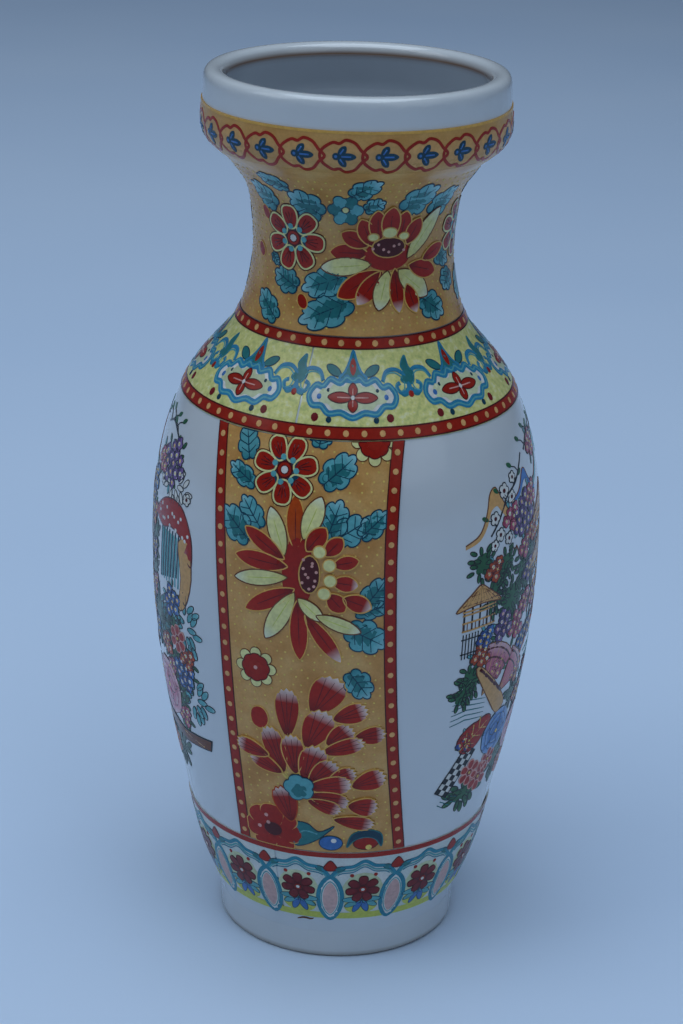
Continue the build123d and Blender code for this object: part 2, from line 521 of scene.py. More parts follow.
# Each colour: one value, or its values at a shape's base, middle and tip.
COLOURS = {
    "red": [(0.15, 0.006, 0.006), RED, (0.46, 0.026, 0.01)],
    "blush": [(0.15, 0.007, 0.006), RED, (0.9, 0.74, 0.66)],
    "orange": [(0.56, 0.075, 0.01)],
    "border": [(0.4, 0.02, 0.009)],
    "bead": [(0.86, 0.46, 0.17)],
    "maroon": [(0.1, 0.01, 0.012)],
    "cream": [(0.74, 0.66, 0.2), (0.86, 0.82, 0.36), (0.84, 0.88, 0.66)],
    "gold": [(0.82, 0.46, 0.11)],
    "yellow": [(0.88, 0.64, 0.16)],
    "white": [(0.86, 0.84, 0.78)],
    "pink": [(0.82, 0.42, 0.36)],
    "blossom": [(0.72, 0.46, 0.42)],
    "rose": [(0.42, 0.04, 0.1), (0.66, 0.17, 0.25), (0.88, 0.58, 0.6)],
    "teal": [(0.018, 0.12, 0.13), (0.03, 0.21, 0.22), (0.08, 0.36, 0.38)],
    "mist": [(0.03, 0.24, 0.27), (0.13, 0.44, 0.47), (0.36, 0.68, 0.72)],
    "sea": [(0.02, 0.16, 0.26), (0.03, 0.26, 0.36), (0.08, 0.4, 0.5)],
    "azure": [(0.02, 0.15, 0.3), (0.035, 0.27, 0.47), (0.12, 0.46, 0.66)],
    "wine": [(0.06, 0.006, 0.012), (0.21, 0.013, 0.018), (0.3, 0.03, 0.03)],
    "deep": [(0.01, 0.06, 0.1)],
    "blue": [(0.02, 0.06, 0.26), (0.06, 0.2, 0.52), (0.34, 0.52, 0.82)],
    "violet": [(0.08, 0.03, 0.16), (0.24, 0.13, 0.36), (0.6, 0.48, 0.7)],
    "green": [(0.01, 0.045, 0.02), (0.025, 0.13, 0.05), (0.12, 0.3, 0.12)],
    "pale": [(0.5, 0.62, 0.4), (0.68, 0.74, 0.46), (0.78, 0.8, 0.54)],
    "lime": [(0.4, 0.5, 0.06), (0.64, 0.68, 0.12), (0.8, 0.8, 0.3)],
    "black": [(0.01, 0.012, 0.016)],
    "brown": [(0.06, 0.018, 0.01), (0.18, 0.055, 0.022), (0.36, 0.15, 0.06)],
    "tan": [(0.52, 0.22, 0.07), (0.74, 0.4, 0.14), (0.86, 0.6, 0.28)],
}
INKS = {name: ink(name, *shades) if len(shades) > 1 else plain_ink(name, *shades)
        for name, shades in COLOURS.items()}


def ground(name, colours, spread=110):
    """A printed ground: soft clouds between a few colours, with a fine grain."""
    material, tree, skin, where = shader("ground_" + name, 0.25, 0.12, 0.25)
    stops = [(0.32 + 0.36 * i / (len(colours) - 1), c) for i, c in enumerate(colours)]
    clouds = ramp(tree, noise(tree, where, spread, 4), stops)
    grain = ramp(tree, noise(tree, where, 1600, 2), [(0.3, grey(0.88)), (0.7, WHITE)])
    plug(tree, skin.inputs["Base Color"], blend(tree, clouds, grain))
    return material


INKS["ground"] = ground("gold", [(0.54, 0.25, 0.065), (0.64, 0.33, 0.1), (0.7, 0.41, 0.145)])


def beyond(tree, where, limit):
    """0 nearer to the axis than a limit in mm and 1 farther out."""
    flat = node(tree, "VectorMath", {0: where, 1: (1, 1, 0)}, operation="MULTIPLY")
    size = node(tree, "VectorMath", {0: flat.outputs[0]}, operation="LENGTH")
    ends = {"From Min": (limit - MOUTH_BLUR) * MM, "From Max": (limit + MOUTH_BLUR) * MM}
    return node(tree, "MapRange", {**ends, "Value": size.outputs["Value"]}).outputs[0]


def porcelain():
    """White glazed porcelain, faintly blue and clouded, with kiln specks, a bare foot ring and a painted
    contact shadow at its very base.

    The inside of the mouth is painted darker than the outside, as painted shade, with a thin brown line where
    it meets the lip.
    """
    material, tree, skin, where = shader("porcelain_glaze", 0.16, 0.8)
    white = ramp(tree, noise(tree, where, 14, 4), [(0.3, (0.58, 0.62, 0.65)), (0.7, (0.68, 0.7, 0.71))])
    cells = node(tree, "TexVoronoi", {"Scale": 75, "Vector": where})
    speck = ramp(tree, cells.outputs["Distance"], [(0.03, (0.55, 0.42, 0.32)), (0.045, WHITE)])
    height = node(tree, "SeparateXYZ", {0: where})
    span = node(tree, "MapRange", {"From Max": TOP * MM, "Value": height.outputs["Z"]}).outputs[0]
    # Partly the bare foot ring's own brown and partly painted shadow: the colour darkens to the very base,
    # where the vase meets the floor.
    foot = ramp(tree, span, [(0, (0.3, 0.24, 0.19)), (0.003, (0.62, 0.58, 0.52)), (0.008, WHITE)])
    outside = blend(tree, blend(tree, white, speck, 0.6), foot)
    # Painted shade: the inside of the mouth is darkened below the lip, under a thin brown line.
    inside = ramp(tree, span, [(0.7, WHITE), (0.76, (0.6, 0.66, 0.74)), (0.984, (0.64, 0.69, 0.76)),
                               (0.986, LIP_BROWN), (0.99, LIP_BROWN), (0.993, WHITE)])
    mouth_painted_shade = blend(tree, outside, inside)
    skin_colour = blend(tree, mouth_painted_shade, outside, beyond(tree, where, MOUTH_EDGE), "MIX")
    plug(tree, skin.inputs["Base Color"], skin_colour)
    ripple = node(tree, "Bump", {"Strength": 0.1, "Distance": 0.001})
    plug(tree, ripple.inputs["Height"], noise(tree, where, 55, 2))
    plug(tree, skin.inputs["Normal"], ripple.outputs["Normal"])
    return material


def paint(name, material):
    """Gives a CAD node its material."""
    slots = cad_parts[name].data.materials
    slots.clear()
    slots.append(material)


# ---------------------------------------------------------------- shared motifs
def reach(base, tip):
    """Length in mm and turn in degrees from base to tip."""
    squeeze = radius((base[1] + tip[1]) / 2) / BELLY
    dx, dz = (tip[0] - base[0]) * squeeze, tip[1] - base[1]
    return hypot(dx, dz), degrees(atan2(-dx, dz))


def frilled(outline, length, depth):
    """Ripples the far end of a petal."""
    edge = []
    for i, (x, y) in enumerate(outline):
        share = min(max((y / length - 0.6) / 0.4, 0), 1)
        edge.append((x, y + depth * share * cos(pi * i)))
    return edge


def draw_petal(p, colour, base, tip, width, layer=2, edge="gold", frill=0):
    """A pointed or frilled petal with its outline and a few veins."""
    length, turn = reach(base, tip)
    shape = petal(length, width, 1.5, 0.1)
    if frill:
        shape = frilled(petal(length, width, 1, 0.34, steps=34), length, frill)
    outline = place(shape, *base, turn)
    p.fill(colour, outline, layer, base, tip, 0.02)
    p.edge("brown" if colour == "cream" else edge, outline, OUTLINE, layer + 0.35)
    vein = "lime" if colour == "cream" else "maroon"
    for side in (-0.2, 0, 0.2) if frill else (0,):
        row = [(side * width * t * 1.6, length * t) for t in (0.16, 0.4, 0.66, 0.9 if frill else 0.74)]
        p.line(vein, place(row, *base, turn), VEIN, layer + 0.6, taper=True)


def draw_leaf(p, base, tip, width, colour="teal"):
    """A lobed leaf, light along its edge, with a midrib and side veins."""
    length, turn = reach(base, tip)
    shape = leaf(length, width * 1.15)
    outline = place(shape, *base, turn)
    p.fill("mist" if colour == "teal" else colour, outline, 1, base, tip)
    if colour == "teal":
        heart = [(x * 0.7, y * 0.74 + 0.08 * length) for x, y in shape]
        p.fill("teal", place(heart, *base, turn), 1.6, base, tip)
    p.edge("deep", outline, 0.36, 2.2)
    rib = [(0, length * t) for t in (0.02, 0.3, 0.55, 0.9)]
    p.line("deep", place(rib, *base, turn), 0.36, 2.8, taper=True)
    for t in (0.2, 0.4, 0.6):
        for side in (-1, 1):
            far = (side * width * (0.4 - 0.2 * abs(t - 0.4)), length * t + length * 0.17)
            p.line("deep", place([(0, length * t), far], *base, turn), VEIN, 2.8)


def blossom(p, u, z, size, petals=7, colour="red", edge="cream", heart="maroon", eye="white", beads=0,
            phase=0, layer=3):
    """A round flower seen from the front."""
    width = 2 * 0.6 * size * sin(pi / petals)
    p.fill("deep" if size > 6 else colour, place(oval(1.1 * size), u, z), layer - 0.5)
    for k in range(petals):
        turn = phase + 360 * k / petals
        shape = [(x, y + 0.28 * size) for x, y in petal(0.72 * size, width, 0.72, 0.16)]
        outline = place(shape, u, z, turn)
        middle = place([(0, 0.18 * size), (0, size)], u, z, turn)
        p.fill(colour, outline, layer, middle[0], middle[1])
        p.edge(edge, outline, 0.46 if size > 6 else 0.3, layer + 1.2)
        if size > 6:
            rim = [(x * 1.16, (y - 0.62 * size) * 1.12 + 0.62 * size) for x, y in shape]
            p.edge("maroon", place(rim, u, z, turn), 0.22, layer + 0.5)
            for side in (-1, 0, 1):
                fold = [(side * 0.03 * size, 0.44 * size),
                        (side * 0.12 * size, (0.82 - 0.05 * abs(side)) * size)]
                p.line("maroon", place(fold, u, z, turn), 0.3, layer + 1.5, taper=True)
    p.fill(heart, place(oval(0.5 * size), u, z), layer + 1.6)
    p.edge("border", place(oval(0.34 * size), u, z), 0.07 * size, layer + 2.8)
    p.dot(eye, u, z, 0.22 * size, layer + 4)
    for k in range(beads):
        a = TURN * k / beads
        spot = polar(u, z, a, 0.36 * size)
        p.dot("mist", *spot, 0.18 * size, layer + 3)


def scalloped(p, u, z, size):
    """A small red flower with a scalloped pale edge."""
    scallops = 8
    for k in range(scallops):
        spot = polar(u, z, TURN * k / scallops, 0.76 * size)
        p.outlined("cream", "brown", place(oval(0.56 * size), *spot), VEIN, 2 + 0.1 * k)
    heart = place(lobed(0.72 * size, scallops, 0.1), u, z)
    p.fill("red", heart, 4)
    p.edge("maroon", heart, 0.28, 4.6)
    p.fill("border", place(oval(0.72 * size), u, z), 5.6)
    p.dot("pink", u, z, 0.2 * size, 8)


def rose(p, u, z, size, colour="rose", edge="maroon"):
    """A full rose: rings of broad petals that turn inward."""
    for ring, (share, count) in enumerate(((0.62, 7), (0.38, 5), (0.16, 3))):
        for k in range(count):
            turn = 360 * k / count + 25 * ring
            wide = 2.6 * share * size * sin(pi / count) + 0.16 * size
            shape = [(x, y + (share - 0.14) * size) for x, y in petal(0.48 * size, wide, 0.7, 0.3)]
            ends = place([(0, 0), (0, (share + 0.34) * size)], u, z, turn)
            outline = place(shape, u, z, turn)
            p.fill(colour, outline, 3 + 0.8 * ring + 0.05 * k, *ends)
            p.edge(edge, outline, 0.22, 3 + 0.8 * ring + 0.5)
    p.dot("yellow", u, z, 0.16 * size, 6)


def spray(p, u, z, size, colour, count, beads="yellow"):
    """A loose cluster of small five-petalled flowers with leaves between them."""
    for k in range(count):
        a = SPIRAL * k + 1.1
        spot = polar(u, z, a, size * sqrt((k + 1.2) / count))
        shape = place(petal(2.6, 1.2, 1.2, steps=12), *spot, degrees(a) - 90)
        p.fill("green" if k % 3 else "mist", shape, 1, spot, shape[len(shape) // 2])
        p.edge("black", shape, 0.2, 1.4)
    rim = "maroon" if colour in ("orange", "rose", "pink") else "black"
    for k in range(count):
        a = SPIRAL * k
        spot = polar(u, z, a, size * sqrt((k + 0.3) / count))
        outline = place(lobed(1.9 + 0.5 * sin(3.1 * k), 5, 0.38, 25, phase=a), *spot)
        rise = 2 + 0.3 * (k % 3)
        p.fill(colour, outline, rise, spot, outline[0])
        p.edge(rim, outline, 0.2, rise + 0.9)
        p.fill("white" if k % 2 else "blossom", place(oval(1.3, steps=8), *spot), rise + 0.9)
        p.dot(beads, *spot, 0.7, rise + 2)


def scatter(p, low_z, high_z, pitch, inside):
    """Fine dots in staggered rows over the ground where inside(u, z) holds."""
    z, row = low_z, 0
    while z < high_z:
        count = int(TURN * radius(z) / pitch)
        for k in range(count):
            u = FULL_U * ((k + 0.5 * (row % 2)) / count - 0.5)
            if inside(u, z):
                u += random.uniform(-0.5, 0.5)
                p.dot("yellow", u, z + random.uniform(-0.3, 0.3), 0.62, 0, 0.05, 6)
        z += pitch * 0.8
        row += 1


def ring(p, colour, low_z, high_z, layer=0):
    """A band of enamel all the way round."""
    row = [FULL_U * (i / RING_STEPS - 0.5) for i in range(RING_STEPS + 1)]
    p.band(colour, [(u, low_z) for u in row], [(u, high_z) for u in row], layer)


def bead_ring(p, z, pitch):
    """Beads evenly round the vase at a height, a pitch in mm apart."""
    count = round(TURN * radius(z) / pitch)
    for k in range(count):
        p.dot("bead", FULL_U * (k / count - 0.5), z, 1.6, 2)


def around(count, first=0):
    """Evenly spaced u round the vase from a first one."""
    return [first + FULL_U * k / count for k in range(count)]


# ---------------------------------------------------------------- rim band
RIM_LOW, RIM_TOP = 232.6, 244.2
NECK_LOW, NECK_HIGH = 187.2, 232
RIM_MIDDLE = 237.8
RIM_COUNT = 24


def draw_rim():
    """The chain of lobed cartouches with a dark fleur in each."""
    p = Print("rim", "rim_enamel")
    ring(p, "gold", RIM_TOP - 0.7, RIM_TOP)
    ring(p, "ground", NECK_HIGH - 0.4, RIM_LOW + 0.6)
    pitch = FULL_U / RIM_COUNT * radius(RIM_MIDDLE) / BELLY
    for u in around(RIM_COUNT, 8):
        half = pitch / 2 + 0.5
        upper = [(-half * 0.86, 1.9), (-half * 0.45, 3.5), (-half * 0.16, 3.3), (half * 0.12, 4.2),
                 (half * 0.5, 3.5), (half * 0.78, 1.6)]
        eye = smooth([(-half, 0)] + upper + [(half * 1.04, 0)] + [(x, -y) for x, y in reversed(upper)])
        outline = place(eye, u, RIM_MIDDLE)
        p.fill("tan", outline, 0)
        p.edge("border", outline, 0.8)
        for turn, length in ((-90, 4.6), (-36, 3.3), (-144, 3.3)):
            shape = petal(length, 1.9, 1.3, 0.1)
            p.fill("deep", place(shape, u - 1.6, RIM_MIDDLE, turn), 3)
            p.line("blue", place([(0, 0.8), (0, length * 0.72)], u - 1.6, RIM_MIDDLE, turn), 0.4, 5)
        p.dot("deep", u - 2.4, RIM_MIDDLE, 1.9, 3)
        p.dot("blue", u - 2.4, RIM_MIDDLE, 0.8, 5)
    p.build()


# ---------------------------------------------------------------- neck
NECK_LEAVES = [
    ((-30, 219), (-45, 225), 7), ((-18, 226), (-34, 228.5), 4.2), ((-3, 218.5), (-20, 224.5), 8),
    ((10, 225), (23, 230), 5.5), ((17, 221), (27, 223.5), 4.5), ((36, 220), (52, 227), 8),
    ((53, 218), (69, 225), 7), ((-17, 198), (-34, 201.5), 6.5), ((10, 203), (-15, 198), 7.5),
    ((13, 196.5), (-14, 189.5), 8.5), ((-27, 188.5), (-45, 195), 6), ((50, 196), (66, 190), 7),
    ((-37, 206), (-31, 203), 2.6), ((60, 208), (76, 203), 5),
]
NECK_PETALS = [
    ("red", (20, 209), (0, 209), 5), ("cream", (22, 206), (-5, 204.5), 5), ("red", (27, 204), (5, 197), 6),
    ("blush", (28, 204), (15, 195), 5), ("cream", (31, 204), (26, 193.5), 5),
    ("blush", (35, 204.5), (37, 192.5), 4), ("cream", (37, 204), (55, 196), 6),
    ("blush", (42, 200), (47, 192), 4), ("red", (43, 205), (62, 202), 5), ("red", (52, 206), (68, 209), 4),
    ("red", (43, 210), (56, 214), 4.5), ("cream", (42, 207), (61, 220), 5),
    ("red", (20, 211), (6, 214.5), 4.5), ("red", (22, 211), (16, 218.5), 4.5),
    ("red", (25, 212), (24, 221), 4.6), ("red", (37, 212), (39, 220.5), 4.6),
    ("red", (41, 211), (48, 218), 4.5), ("red", (31, 212), (31.5, 222), 5),
]
SPRIG = (8, 221)        # (u, z) of the small blue flower


def draw_neck_half(p):
    """Half of the neck: a round flower, a crowned peony and leaves."""
    for base, tip, width in NECK_LEAVES:
        draw_leaf(p, base, tip, width)
    for k in range(6):
        a = TURN * k / 6
        spot = polar(*SPRIG, a, 2.7, 2.6)
        p.outlined("teal" if k % 2 else "mist", "deep", place(lobed(2, 3, 0.2, phase=a), *spot), 0.3, 2)
    p.dot("cream", *SPRIG, 1.6, 5)
    blossom(p, -21, 211.5, 9, 7, beads=7, phase=8)
    p.fill("red", place(oval(13, 8.5), 31, 208.3), 2)
    for k, (colour, base, tip, width) in enumerate(NECK_PETALS):
        draw_petal(p, colour, base, tip, width, 2 + PETAL_STEP * k)
    above = 3 + PETAL_STEP * len(NECK_PETALS)
    p.outlined("maroon", "gold", place(oval(9, 5.5), 31, 210.5), 0.4, above)
    for u, z, size in ((31, 214.6, 4), (22.5, 213.5, 2.8), (39, 213.4, 2.8)):
        p.outlined("cream", "gold", place(oval(size, size * 0.72), u, z), 0.35, above + 1)
    for k in range(7):
        p.dot("pink", 22.5 + 2.8 * k, 210.3 + 1.1 * sin(1.7 * k), 0.8, above + 2)
    for u, z in ((-12, 193), (-38, 215), (-45, 204)):
        p.outlined("red", "gold", place(petal(4.2, 2.8, 1), u, z, 30), 0.3, 3)
    blossom(p, 84, 212, 8, 7, beads=7, phase=20)
    for base, tip in (((96, 200), (88, 191)), ((78, 201), (70, 196)), ((98, 222), (88, 227))):
        draw_leaf(p, base, tip, 7)


def draw_neck():
    """The gold neck, the same picture front and back."""
    p = Print("neck", "neck_enamel")
    scatter(p, 189, 231, 2.5, lambda u, z: True)
    p.keep = lambda u, z: (u, min(max(z, NECK_LOW), NECK_HIGH))
    for p.shift in (0, HALF_U):
        draw_neck_half(p)
    p.build()


# ---------------------------------------------------------------- shoulder
CLOUD = [
    (-11.6, 0.2), (-10.2, 2.4), (-8.2, 2.2), (-6.4, 3.9), (-3.6, 3.1), (-1.8, 4.3), (0, 3.6), (1.8, 4.3),
    (3.6, 3.1), (6.4, 3.9), (8.2, 2.2), (10.2, 2.4), (11.6, 0.2), (10.4, -1.9), (8, -2), (6, -3.6),
    (3, -3.3), (0, -4.4), (-3, -3.3), (-6, -3.6), (-8, -2), (-10.4, -1.9),
]
CLOUD_COUNT = 8
CLOUD_Z = 173.2
SCROLL = [(0, 0), (0.8, 2.4), (3.6, 3.4), (6.4, 2.2), (6.8, -0.4), (5, -1.5), (3.8, -0.2), (4.8, 0.8)]


def draw_shoulder():
    """Cloud cartouches and scrolls between two beaded rings."""
    p = Print("shoulder", "shoulder_enamel")
    for low, high, pitch in ((183.8, 186.8, 4.5), (163.6, 166.8, 4.8)):
        ring(p, "border", low, high)
        bead_ring(p, (low + high) / 2, pitch)
        for edge in (low, high - 0.35):
            ring(p, "maroon", edge, edge + 0.35, 1)
    cloud = smooth(CLOUD, steps=4)
    for u in around(CLOUD_COUNT, 13.5):
        z = CLOUD_Z
        p.fill("white", place(cloud, u, z), 0)
        p.fill("pale", place([(x * 0.8, y * 0.74) for x, y in cloud], u, z), 1.7)
        p.edge("azure", place(cloud, u, z), 1.45, 2)
        p.edge("mist", place([(x * 1.01, y * 1.02) for x, y in cloud], u, z), 0.36, 3)
        for turn, length, width in ((90, 6.6, 2.4), (-90, 6.6, 2.4), (0, 3.2, 2.5), (180, 3.2, 2.5)):
            shape = place(petal(length, width, 1.5), u, z, turn)
            p.fill("border", shape, 4)
            p.edge("maroon", shape, 0.25, 5)
            p.line("pink", place([(0, 0.3), (0, length * 0.62)], u, z, turn), 0.26, 6)
        p.dot("white", u, z, 1, 7)
        for side in (-1, 1):
            p.dot("blue", u + side * 12, z, 1.3, 2)
            p.dot("deep", u + side * 9, z + 1.5, 0.9, 2)
            p.dot("wine", u + side * 12.5, z - 4.6, 2, 2)
            p.dot("deep", u + side * 7.8, z - 5, 1.5, 2)
            curl = smooth([(side * x, y) for x, y in SCROLL], closed=False)
            p.line("azure", place(curl, u + side * 11.4, z + 3.4, -side * 14), 0.9, 1)
            p.line("mist", place(curl, u + side * 11.9, z + 3.2, -side * 14, 0.8), 0.34, 1)
            hook = smooth([(side * 17, 1.6), (side * 18.6, 0.2), (side * 20.6, 0.6), (side * 20, 1.8)],
                          closed=False)
            p.line("sea", [(u + x, z + y) for x, y in hook], 0.6, 1)
            sprig = petal(4.6, 2, 1.3)
            p.outlined("teal", "deep", place(sprig, u + side * 4.6, z + 4.8, -side * 64), 0.28, 1)
        crest = [(-3.6, 0), (-2.2, 1.6), (-1, 4), (0, 6.4), (1, 4), (2.2, 1.6), (3.6, 0), (0, -0.6)]
        outline = place(smooth(crest, steps=4), u, z + 4)
        p.fill("teal", outline)
        p.edge("azure", outline, 0.6)
        p.fill("border", place(petal(3.8, 1.7, 1.3), u, z + 4.8), 3)
        half_way = u + HALF_U / CLOUD_COUNT
        flame = smooth([(-1.8, 0), (-0.6, 1.8), (-1, 3.4), (0.8, 5.4), (1.2, 3), (2.2, 1.4), (1, -0.8)])
        p.outlined("teal", "sea", place(flame, half_way, z + 3.4), 0.4, 1)
        p.dot("border", half_way, z + 0.4, 1.5, 2)
    p.build()


# ---------------------------------------------------------------- flower strips
STRIP_LOW = (40.1, -18.8, 27.2)       # height, and the sides' x as seen from the front, in mm
STRIP_HIGH = (163.3, -26.1, 24.2)
BORDER = 3.2            # mm, width of the beaded red border
BORDER_STEP = 2.05      # mm, from one point of its edge to the next
BEAD_STEP = 4.72        # mm, from one bead to the next


def strip_side(z, k):
    """u of the strip's left (k = 1) or right (k = 2) side at a height."""
    share = (z - STRIP_LOW[0]) / (STRIP_HIGH[0] - STRIP_LOW[0])
    x = STRIP_LOW[k] * (1 - share) + STRIP_HIGH[k] * share
    return asin(max(min(x / radius(z), 1), -1)) * BELLY


def in_strip(u, z):
    """Whether a point is on the gold ground, 1 mm clear of the borders."""
    margin = (BORDER + 1) * BELLY / radius(z)
    return strip_side(z, 1) + margin < u < strip_side(z, 2) - margin


def keep_in_strip(u, z):
    """Moves a point that is outside the strip's gold ground back to its edge."""
    z = min(max(z, STRIP_LOW[0]), STRIP_HIGH[0])
    border = BORDER * BELLY / radius(z)
    return min(max(u, strip_side(z, 1) + border), strip_side(z, 2) - border), z


STRIP_LEAVES = [
    ((-17.5, 156), (-21, 165), 6.2, "mist"), ((-15, 158), (-13, 154.5), 2.6, "deep"),
    ((3.5, 161.3), (4.5, 167), 5.6, "mist"), ((5, 152), (15, 160), 7.5, "teal"),
    ((-14, 150), (-24, 154.5), 5, "teal"), ((-14, 135), (-24, 143), 8, "teal"),
    ((-11, 139), (-18, 147), 6, "mist"), ((7, 138), (11, 149), 7.5, "teal"),
    ((9, 138), (18.5, 144), 7.5, "mist"), ((16, 139), (24, 146), 6, "teal"),
    ((17, 119), (24, 128), 6.5, "teal"), ((15, 118), (24.5, 120), 5, "teal"),
    ((13, 114), (24, 108), 9, "teal"), ((14, 101), (20, 92.5), 7, "teal"),
]
STRIP_PETALS = [
    ("orange", (-1, 135), (-2, 149.5), 5), ("cream", (-4, 133), (-9, 145.5), 5),
    ("red", (-4, 132), (-16, 139), 4.5), ("red", (-3, 130), (-18.5, 131), 5),
    ("cream", (-3, 127), (-18.5, 124.5), 4.5), ("red", (-1, 124), (-15, 116), 5),
    ("cream", (-1, 123), (-9, 108.5), 5.5), ("red", (0, 121), (0.8, 103.5), 5),
    ("blush", (2, 117), (12, 103.5), 4.5), ("cream", (0, 121.5), (7, 115.5), 4),
    ("cream", (5, 117), (17, 112.5), 4), ("cream", (1, 138), (5.5, 149.5), 5.5),
    ("red", (2, 135), (7, 141.5), 5), ("red", (7, 134), (11.5, 139), 4.5),
    ("red", (9, 131.5), (16, 133), 4), ("blush", (9, 127), (16, 126), 4.5),
    ("red", (8, 123.5), (12.5, 118.5), 5), ("blush", (12, 122.5), (19.5, 119.5), 5),
]
FRILLS = [
    ((-3, 80), (-3, 94), 6.5), ((5, 88), (11, 98.5), 9), ((3, 77), (8, 88), 8), ((11, 86), (19.5, 89), 6),
    ((9, 78), (15.5, 83), 6), ((17, 80), (25, 81), 5.5), ((8, 75), (19, 78.5), 5), ((-5, 68), (-9, 81), 6),
    ((-1, 68), (-2, 79.5), 6), ((2, 66), (6, 76.5), 7), ((4, 65), (11, 71.5), 6), ((10, 66), (17, 68.5), 5),
    ((4, 63), (16, 64.5), 6), ((17, 64), (26, 67), 6.5), ((4, 60), (15.5, 57.5), 5.5),
    ((3.5, 58), (13, 55), 4.5), ((16, 57), (24.5, 56), 6), ((12, 52), (24, 50), 4.5),
    ((-6, 67), (-15, 71), 5), ((-10, 72), (-19.5, 74), 5),
]
FAN_HEART = (0, 62.4)       # (u, z) of the frilled flower's heart and of the cut flower's
CUT_FLOWER = (-10, 46)


def draw_strip_border(p):
    """The two beaded red borders."""
    heights = [STRIP_LOW[0] + 0.2 + BORDER_STEP * i for i in range(61)]
    for k, way in ((1, 1), (2, -1)):
        outer = [(strip_side(z, k), z) for z in heights]
        inner = [(u + way * BORDER * BELLY / radius(z), z) for u, z in outer]
        p.band("border", outer, inner)
        for side in (outer, inner):
            p.line("maroon", side, 0.35, 1)
        for i in range(26):
            z = STRIP_LOW[0] + 2.5 + BEAD_STEP * i
            p.dot("bead", strip_side(z, k) + way * BORDER / 2 * BELLY / radius(z), z, 1.6, 2)


def draw_strip_top(p):
    """The round flower and the tall peony, with their leaves."""
    for base, tip, width, colour in STRIP_LEAVES:
        draw_leaf(p, base, tip, width, colour)
    blossom(p, -6, 155.3, 8.9, 7, beads=7, phase=26)
    scalloped(p, 20.3, 163.4, 5.8)
    p.fill("red", place(oval(8.5, 21), -0.3, 128.5), 2)
    for k, (colour, base, tip, width) in enumerate(STRIP_PETALS):
        draw_petal(p, colour, base, tip, width, 2 + PETAL_STEP * k)
    above = 3 + PETAL_STEP * len(STRIP_PETALS)
    p.outlined("maroon", "gold", place(oval(5.6, 10.5), 3, 128.6), 0.4, above)
    for k in range(11):
        p.dot("pink", 3 + 1.9 * sin(2.4 * k), 124.6 + 0.8 * k, 0.85, above + 2)
    for u, z in ((5.5, 135), (8.2, 131.5), (8.5, 127.2), (7, 123.5)):
        p.outlined("cream", "gold", place(oval(3.4), u, z), 0.35, above + 2)


def draw_strip_foot(p):
    """The small flower, the frilled chrysanthemum and the cut flowers under it."""
    scalloped(p, -12, 99, 5.8)
    for k, (base, tip, width) in enumerate(FRILLS):
        foot = tuple(b + 0.1 * (b - t) for b, t in zip(base, tip))
        draw_petal(p, "blush", foot, tip, width, 1.5 + PETAL_STEP * k, "gold", frill=0.45)
        bow = (base[0] * 0.55 - 0.06 * (base[1] - 62), (base[1] + 62) / 2)
        p.line("yellow", smooth([FAN_HEART, bow, base], closed=False), 0.42, 1.5)
    heart = lobed(4.4, 5, 0.22, phase=0.6)
    above = 2.5 + PETAL_STEP * len(FRILLS)
    p.outlined("mist", "deep", place(heart, *FAN_HEART), OUTLINE, above)
    p.fill("teal", place([(x * 0.55, y * 0.55 - 1) for x, y in heart], *FAN_HEART), above + 1)
    p.outlined("red", "gold", place(petal(7, 5.4, 1), -11.5, 80), 0.38, 4)
    for k, turn in enumerate((-150, 150, -95, 95, -45, 45, 0)):
        shape = place(petal(8.6, 6.6, 0.85, 0.3), *CUT_FLOWER, turn)
        p.outlined("red", "gold", shape, 0.32, 2 + 0.3 * k, CUT_FLOWER, shape[len(shape) // 2])
    p.fill("maroon", place(oval(5.4, 4.6), *CUT_FLOWER), 5)
    draw_petal(p, "blush", (-3, 50), (-6, 61.5), 6.5, 6, "orange", frill=0.4)
    for u, z in ((-12, 50.5), (-11.5, 48), (-15, 46)):
        p.dot("pink", u, z, 1.2, 8)
    curl = [(-4, 44), (-2.5, 49.5), (2, 49.8), (6, 47.2), (11, 49.4), (6.5, 45.2), (2, 42.6), (-2, 41.6)]
    p.outlined("teal", "deep", smooth(curl), 0.4, 2)
    p.line("mist", smooth([(-2.4, 44.5), (1, 47.2), (5.5, 46.4)], closed=False), 0.5, 3)
    p.outlined("blue", "deep", place(oval(6.5, 5), 10, 43.5), 0.35, 3)
    p.dot("white", 11, 44.4, 1.6, 5)
    p.outlined("red", "maroon", place(oval(7, 4.4), 22, 43.4), 0.35, 3)
    moon = [(15.5, 42), (17, 46.5), (22, 48.2), (27, 46.4), (27.5, 42), (25, 44.8), (21.5, 45.6), (18, 44.6)]
    p.outlined("deep", "teal", smooth(moon), 0.35, 4)
    p.dot("yellow", 23, 42, 1.8, 6)


def draw_strips():
    """The two gold strips, front and back."""
    p = Print("strip", "strip_enamel")
    scatter(p, 43, 162, 3, lambda u, z: in_strip(u, z) or in_strip(u - copysign(HALF_U, u), z))
    for p.shift in (0, HALF_U):
        p.keep = None
        draw_strip_border(p)
        p.keep = keep_in_strip
        draw_strip_top(p)
        draw_strip_foot(p)
    p.build()


# ---------------------------------------------------------------- foot border
FOOT_COUNT = 14
ARCH = [(0, 30.8), (0.14, 34.2), (0.34, 35), (0.5, 36.8), (0.66, 35), (0.86, 34.2), (1, 30.8)]
LENS_Z = 22.6


